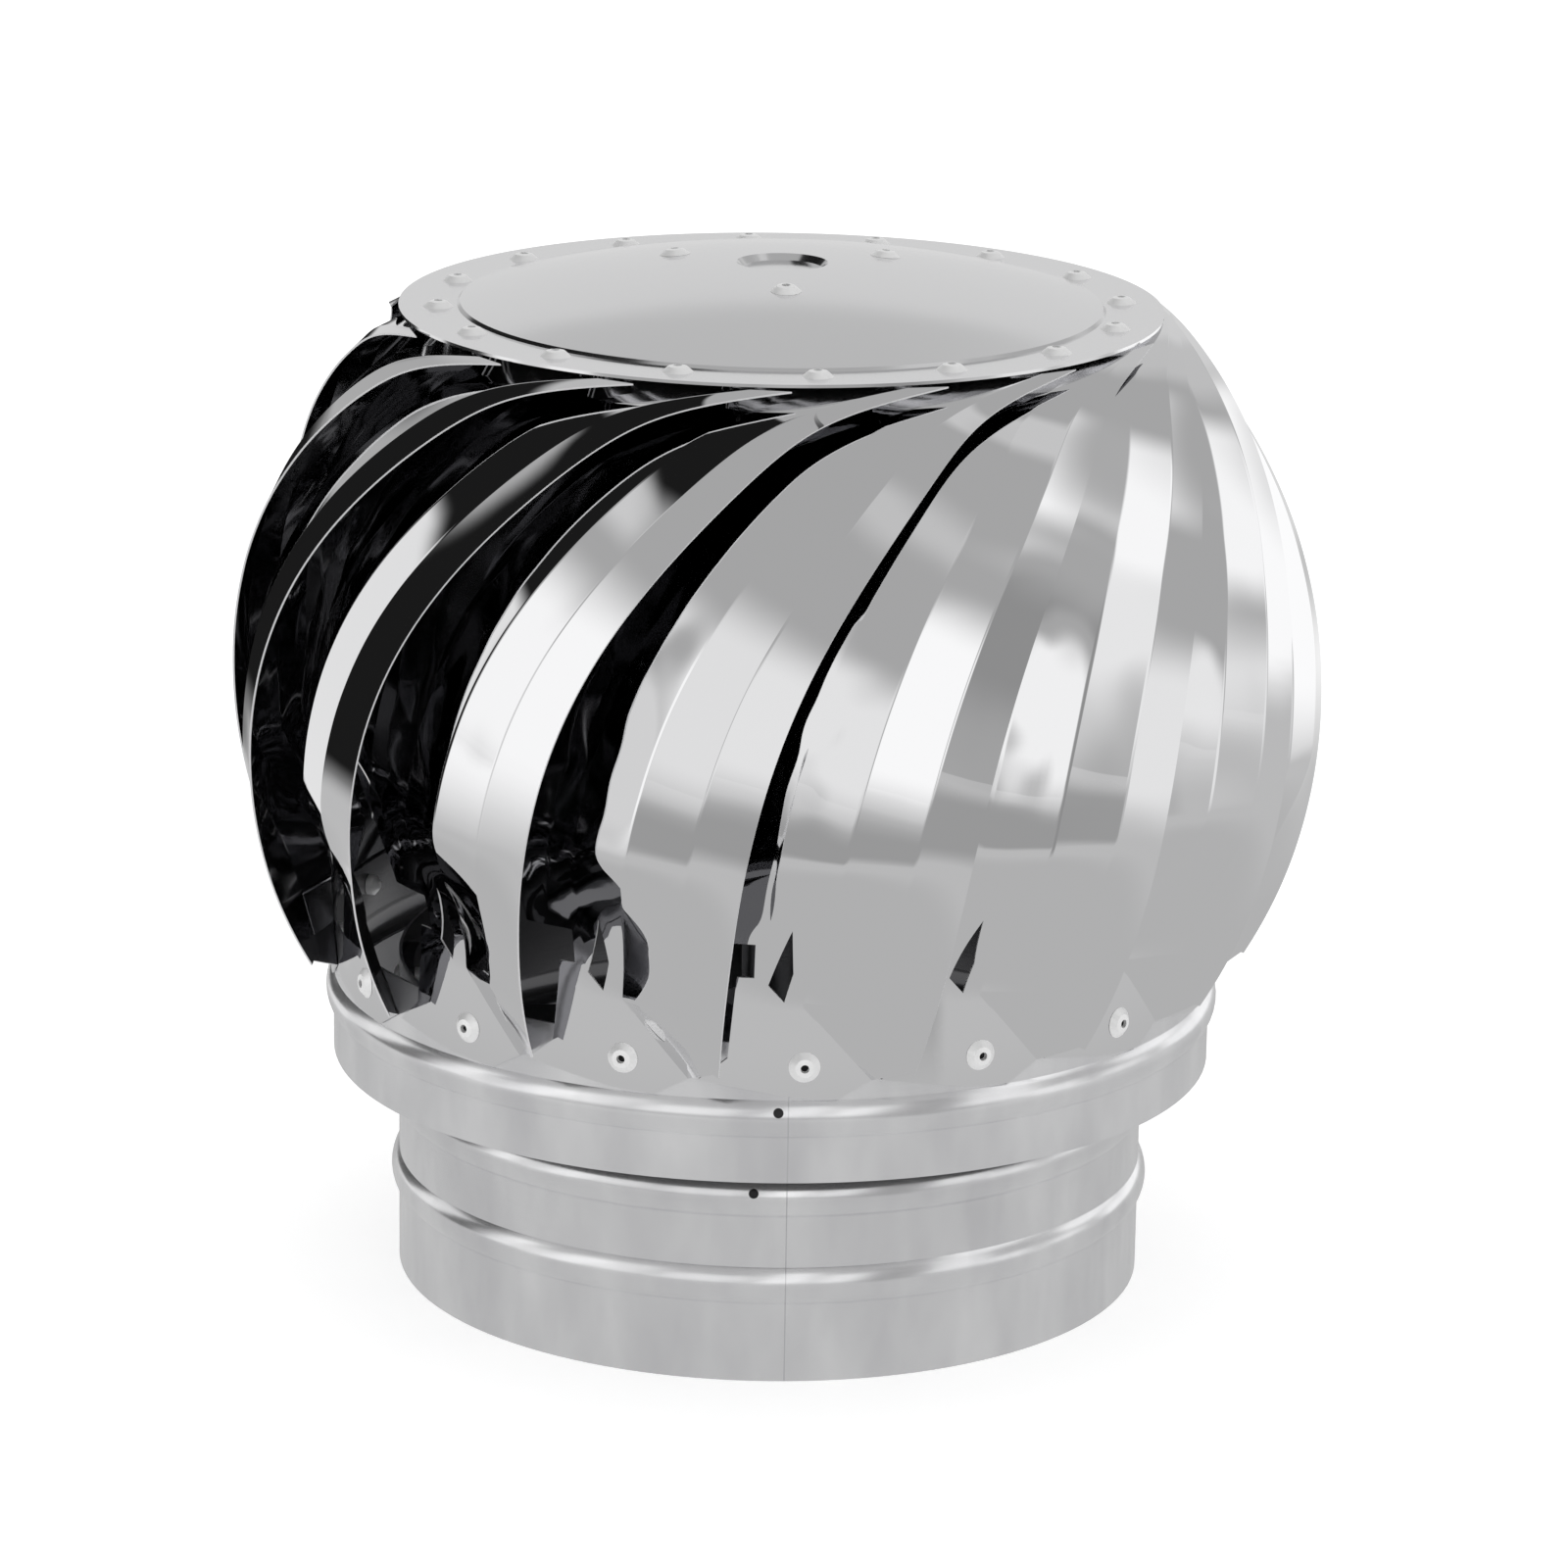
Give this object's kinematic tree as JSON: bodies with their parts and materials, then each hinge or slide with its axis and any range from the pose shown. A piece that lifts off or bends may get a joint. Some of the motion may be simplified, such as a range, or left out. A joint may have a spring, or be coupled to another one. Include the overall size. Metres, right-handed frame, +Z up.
{
  "type": "rotating chimney cowl",
  "caption": "Rotating chimney cowl: a spiral-bladed head on ball bearings that spins on a round flue collar to draw gas from a chimney.",
  "frame": {"origin": "centre of the collar's bottom rim", "axes": "+Z up along the spindle; -Y is the front that the picture shows"},
  "size_m": [0.2898, 0.2898, 0.2735],
  "materials": {
    "polished_sheet": "mirror-polished stainless steel sheet",
    "rivet_steel": "bright stainless steel",
    "bearing_steel": "ground",
    "cage_brass": "machined",
    "strap_steel": "mill finish stainless flat bar",
    "hub_steel": "turned",
    "spring_steel": "phosphated",
    "turned_steel": "turned stainless bar"
  },
  "bodies": {
    "base": {"base_collar": "polished_sheet", "bridge_strap_lower": "strap_steel", "bridge_strap_upper": "strap_steel", "bridge_rivets": "rivet_steel", "spindle": "turned_steel", "spindle_foot_nut": "turned_steel", "spindle_foot_washer": "turned_steel", "spindle_lock_washer": "turned_steel", "spindle_top_washer": "turned_steel", "spindle_top_nut": "turned_steel", "bearing_spacer_sleeve": "turned_steel", "lower_bearing_inner_ring": "bearing_steel", "upper_bearing_inner_ring": "bearing_steel"},
    "rotor": {"top_plate": "polished_sheet", "plate_rivets": "rivet_steel", "hub_rivets": "rivet_steel", "bearing_hub": "hub_steel", "hub_circlip": "spring_steel", "lower_bearing_outer_ring": "bearing_steel", "upper_bearing_outer_ring": "bearing_steel", "lower_ring": "polished_sheet", "ring_rivets": "rivet_steel", "blade_01": "polished_sheet", "blade_02": "polished_sheet", "blade_03": "polished_sheet", "blade_04": "polished_sheet", "blade_05": "polished_sheet", "blade_06": "polished_sheet", "blade_07": "polished_sheet", "blade_08": "polished_sheet", "blade_09": "polished_sheet", "blade_10": "polished_sheet", "blade_11": "polished_sheet", "blade_12": "polished_sheet", "blade_13": "polished_sheet", "blade_14": "polished_sheet", "blade_15": "polished_sheet", "blade_16": "polished_sheet"},
    "lower_ball_set": {"lower_bearing_cage": "cage_brass", "lower_bearing_balls": "bearing_steel"},
    "upper_ball_set": {"upper_bearing_cage": "cage_brass", "upper_bearing_balls": "bearing_steel"}
  },
  "joints": [
    {"name": "rotor_spin", "type": "hinge", "parent": "base", "child": "rotor", "pos_m": [0, 0, 0.2], "axis": [0, 0, 1], "continuous": true},
    {"name": "lower_balls_roll", "type": "hinge", "parent": "base", "child": "lower_ball_set", "pos_m": [0, 0, 0.208], "axis": [0, 0, 1], "continuous": true},
    {"name": "upper_balls_roll", "type": "hinge", "parent": "base", "child": "upper_ball_set", "pos_m": [0, 0, 0.254], "axis": [0, 0, 1], "continuous": true}
  ],
  "couplings": [
    {"joint": "lower_balls_roll", "follows": "rotor_spin", "ratio": 0.619},
    {"joint": "upper_balls_roll", "follows": "rotor_spin", "ratio": 0.619}
  ]
}
